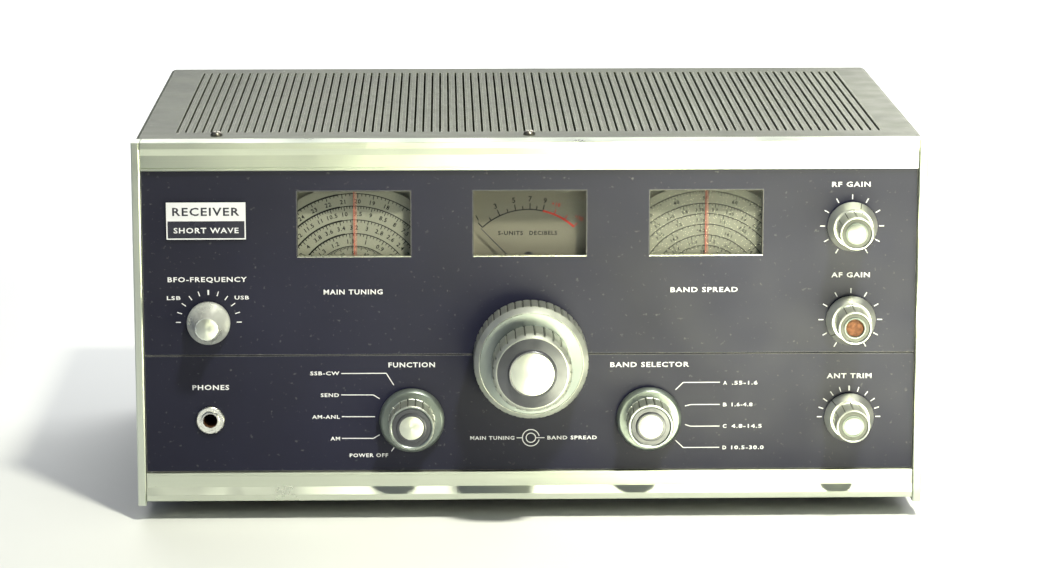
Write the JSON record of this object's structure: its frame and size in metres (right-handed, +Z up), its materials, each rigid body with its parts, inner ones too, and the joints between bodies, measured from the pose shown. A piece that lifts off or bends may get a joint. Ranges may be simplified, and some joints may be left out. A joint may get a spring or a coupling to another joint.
{
  "type": "vintage shortwave communications receiver",
  "caption": "Table-top shortwave receiver: aluminium-framed dark panel with two dial windows, a signal meter, concentric tuning knobs and rotary controls, under a vented steel cover.",
  "frame": {"origin": "centre of the bounding box in X and Y, on the surface the feet stand on", "axes": "+X to the viewer's right along the front, -Y out of the front panel, +Z up"},
  "size_m": [0.38, 0.3026, 0.1881],
  "materials": {
    "cover_paint": "satin, tarnished in patches",
    "trim_aluminium": "bright, lightly scratched",
    "panel_paint": "satin with a fine texture",
    "badge_enamel": "satin",
    "chassis_steel": "plated",
    "foot_rubber": "matte",
    "window_clear": "clear",
    "screw_steel": "plated",
    "knob_dark": "metallic grey lacquer with bright bevels",
    "knob_silver": "bright turned metal",
    "shaft_steel": "turned",
    "dial_enamel": "printed",
    "capacitor_metal": "satin",
    "meter_plastic": "smooth",
    "needle_black": "satin",
    "control_case": "plated",
    "switch_board": "resin board",
    "jack_steel": "plated",
    "transformer_black": "satin",
    "can_aluminium": "satin",
    "valve_glass": "clear",
    "terminal_board": "resin board with plated screws",
    "grommet_rubber": "matte",
    "fuse_plastic": "moulded"
  },
  "bodies": {
    "cabinet": {"top_cover": "cover_paint", "rear_panel": "cover_paint", "bottom_plate": "cover_paint", "left_side_trim": "trim_aluminium", "right_side_trim": "trim_aluminium", "top_trim": "trim_aluminium", "bottom_trim": "trim_aluminium", "upper_front_panel": "panel_paint", "lower_front_panel": "panel_paint", "badge_plate": "badge_enamel", "chassis": "chassis_steel", "foot_front_left": "foot_rubber", "foot_front_right": "foot_rubber", "foot_rear_left": "foot_rubber", "foot_rear_right": "foot_rubber", "dial_glass": "window_clear", "cover_screw_left": "screw_steel", "cover_screw_centre": "screw_steel", "main_capacitor_frame": "capacitor_metal", "spread_capacitor_frame": "capacitor_metal", "bfo_capacitor": "capacitor_metal", "antenna_trim_capacitor": "capacitor_metal", "meter_case": "meter_plastic", "rf_gain_potentiometer": "control_case", "af_gain_potentiometer": "control_case", "function_switch": "switch_board", "band_switch": "switch_board", "phones_jack": "jack_steel", "power_transformer": "transformer_black", "output_transformer": "transformer_black", "smoothing_can": "can_aluminium", "if_can_1": "can_aluminium", "if_can_2": "can_aluminium", "if_can_3": "can_aluminium", "valve_1": "valve_glass", "valve_2": "valve_glass", "valve_3": "valve_glass", "valve_4": "valve_glass", "valve_5": "valve_glass", "valve_6": "valve_glass", "antenna_terminals": "terminal_board", "speaker_terminals": "terminal_board", "mains_grommet": "grommet_rubber", "fuse_holder": "fuse_plastic"},
    "main_tuning": {"main_tuning_knob": "knob_dark", "main_tuning_sleeve": "shaft_steel"},
    "band_spread": {"band_spread_knob": "knob_dark", "band_spread_shaft": "shaft_steel"},
    "main_dial": {"main_dial_disc": "dial_enamel", "main_capacitor_rotor": "capacitor_metal"},
    "spread_dial": {"spread_dial_disc": "dial_enamel", "spread_capacitor_rotor": "capacitor_metal"},
    "needle": {"meter_needle": "needle_black"},
    "bfo_control": {"bfo_knob": "knob_silver"},
    "rf_gain_control": {"rf_gain_knob": "knob_silver"},
    "af_gain_control": {"af_gain_knob": "knob_silver"},
    "antenna_trim_control": {"antenna_trim_knob": "knob_silver"},
    "function_control": {"function_knob": "knob_dark"},
    "band_control": {"band_selector_knob": "knob_dark"}
  },
  "joints": [
    {"name": "main_tuning_turn", "type": "hinge", "parent": "cabinet", "child": "main_tuning", "pos_m": [0, -0.10975, 0.0816], "axis": [0, -1, 0], "range_deg": [-900, 900]},
    {"name": "band_spread_turn", "type": "hinge", "parent": "cabinet", "child": "band_spread", "pos_m": [0, -0.10975, 0.0816], "axis": [0, -1, 0], "range_deg": [-900, 900]},
    {"name": "main_dial_turn", "type": "hinge", "parent": "cabinet", "child": "main_dial", "pos_m": [-0.0845, -0.09875, 0.112], "axis": [0, -1, 0], "range_deg": [-91, 91]},
    {"name": "spread_dial_turn", "type": "hinge", "parent": "cabinet", "child": "spread_dial", "pos_m": [0.0845, -0.09875, 0.112], "axis": [0, -1, 0], "range_deg": [-91, 91]},
    {"name": "needle_swing", "type": "hinge", "parent": "cabinet", "child": "needle", "pos_m": [-0.0007, -0.09925, 0.1184], "axis": [0, 1, 0], "range_deg": [0, 88], "stiffness_Nm_per_rad": 0.0001, "springref_deg": -22.92},
    {"name": "bfo_turn", "type": "hinge", "parent": "cabinet", "child": "bfo_control", "pos_m": [-0.1545, -0.10975, 0.0982], "axis": [0, -1, 0], "range_deg": [-90, 90]},
    {"name": "rf_gain_turn", "type": "hinge", "parent": "cabinet", "child": "rf_gain_control", "pos_m": [0.1545, -0.10975, 0.1439], "axis": [0, -1, 0], "range_deg": [-130, 170]},
    {"name": "af_gain_turn", "type": "hinge", "parent": "cabinet", "child": "af_gain_control", "pos_m": [0.1545, -0.10975, 0.098], "axis": [0, -1, 0], "range_deg": [-300, 0]},
    {"name": "antenna_trim_turn", "type": "hinge", "parent": "cabinet", "child": "antenna_trim_control", "pos_m": [0.1545, -0.10975, 0.0499], "axis": [0, -1, 0], "range_deg": [-135, 45]},
    {"name": "function_turn", "type": "hinge", "parent": "cabinet", "child": "function_control", "pos_m": [-0.0573, -0.10975, 0.0498], "axis": [0, -1, 0], "range_deg": [-90, 30]},
    {"name": "band_selector_turn", "type": "hinge", "parent": "cabinet", "child": "band_control", "pos_m": [0.0574, -0.10975, 0.0498], "axis": [0, -1, 0], "range_deg": [-30, 60]}
  ],
  "couplings": [
    {"joint": "main_dial_turn", "follows": "main_tuning_turn", "ratio": 0.1},
    {"joint": "spread_dial_turn", "follows": "band_spread_turn", "ratio": 0.1}
  ]
}
